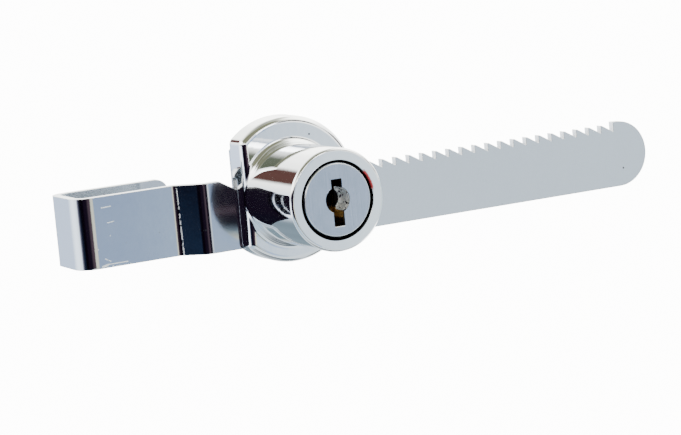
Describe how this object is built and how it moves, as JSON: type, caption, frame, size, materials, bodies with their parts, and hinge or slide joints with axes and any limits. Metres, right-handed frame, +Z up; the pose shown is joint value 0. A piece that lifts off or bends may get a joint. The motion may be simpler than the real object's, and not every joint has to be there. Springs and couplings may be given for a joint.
{
  "type": "ratchet showcase lock",
  "caption": "Chromed ratchet lock for sliding glass doors: a hooked, toothed bar and a key-operated lock body that slides along it.",
  "frame": {"origin": "seat of the rear glass panel in the hook: the closed end's inner face, the front leg's inner face and half the bar's height", "axes": "+X along the bar from the hook to the rounded tip, +Y away from the person at the showcase, +Z up towards the teeth"},
  "size_m": [0.1257, 0.0406, 0.028],
  "materials": {
    "bar_steel": "satin chrome-plated steel",
    "housing_chrome": "polished chrome-plated zinc",
    "plate_steel": "plated",
    "rivet_steel": "plain",
    "plug_nickel": "fine brushed plated brass",
    "pin_steel": "plain",
    "pawl_steel": "plain",
    "spring_steel": "plain",
    "wafer_brass": "plain"
  },
  "bodies": {
    "bar": {"hook_bar": "bar_steel"},
    "lock_body": {"lock_housing": "housing_chrome", "back_plate": "plate_steel", "back_plate_rivets": "rivet_steel", "pawl_spring_left": "spring_steel", "pawl_spring_right": "spring_steel"},
    "plug_group": {"plug": "plug_nickel", "plug_clip": "spring_steel", "drive_pin": "pin_steel", "wafer_spring_1": "spring_steel", "wafer_spring_2": "spring_steel", "wafer_spring_3": "spring_steel", "wafer_spring_4": "spring_steel", "wafer_spring_5": "spring_steel"},
    "pawl_group": {"pawl": "pawl_steel"},
    "wafer_group_1": {"wafer_1": "wafer_brass"},
    "wafer_group_2": {"wafer_2": "wafer_brass"},
    "wafer_group_3": {"wafer_3": "wafer_brass"},
    "wafer_group_4": {"wafer_4": "wafer_brass"},
    "wafer_group_5": {"wafer_5": "wafer_brass"}
  },
  "joints": [
    {"name": "body_slide", "type": "slide", "parent": "bar", "child": "lock_body", "axis": [1, 0, 0], "range_m": [-0.00305, 0.10675]},
    {"name": "plug_turn", "type": "hinge", "parent": "lock_body", "child": "plug_group", "pos_m": [0.0397, -0.0091, 0.003], "axis": [0, 1, 0], "range_deg": [0, 90]},
    {"name": "pawl_lift", "type": "slide", "parent": "lock_body", "child": "pawl_group", "axis": [0, 0, 1], "range_m": [0, 0.002], "deforming": ["pawl_spring_left", "pawl_spring_right"]},
    {"name": "wafer_1_drop", "type": "slide", "parent": "plug_group", "child": "wafer_group_1", "axis": [0, 0, -1], "range_m": [0, 0.001], "deforming": ["wafer_spring_1"]},
    {"name": "wafer_2_drop", "type": "slide", "parent": "plug_group", "child": "wafer_group_2", "axis": [0, 0, -1], "range_m": [0, 0.001], "deforming": ["wafer_spring_2"]},
    {"name": "wafer_3_drop", "type": "slide", "parent": "plug_group", "child": "wafer_group_3", "axis": [0, 0, -1], "range_m": [0, 0.001], "deforming": ["wafer_spring_3"]},
    {"name": "wafer_4_drop", "type": "slide", "parent": "plug_group", "child": "wafer_group_4", "axis": [0, 0, -1], "range_m": [0, 0.001], "deforming": ["wafer_spring_4"]},
    {"name": "wafer_5_drop", "type": "slide", "parent": "plug_group", "child": "wafer_group_5", "axis": [0, 0, -1], "range_m": [0, 0.001], "deforming": ["wafer_spring_5"]}
  ],
  "couplings": [
    {"joint": "pawl_lift", "follows": "plug_turn", "m_per_rad": 0.0012732},
    {"joint": "wafer_2_drop", "follows": "wafer_1_drop", "ratio": 1},
    {"joint": "wafer_3_drop", "follows": "wafer_1_drop", "ratio": 1},
    {"joint": "wafer_4_drop", "follows": "wafer_1_drop", "ratio": 1},
    {"joint": "wafer_5_drop", "follows": "wafer_1_drop", "ratio": 1}
  ]
}
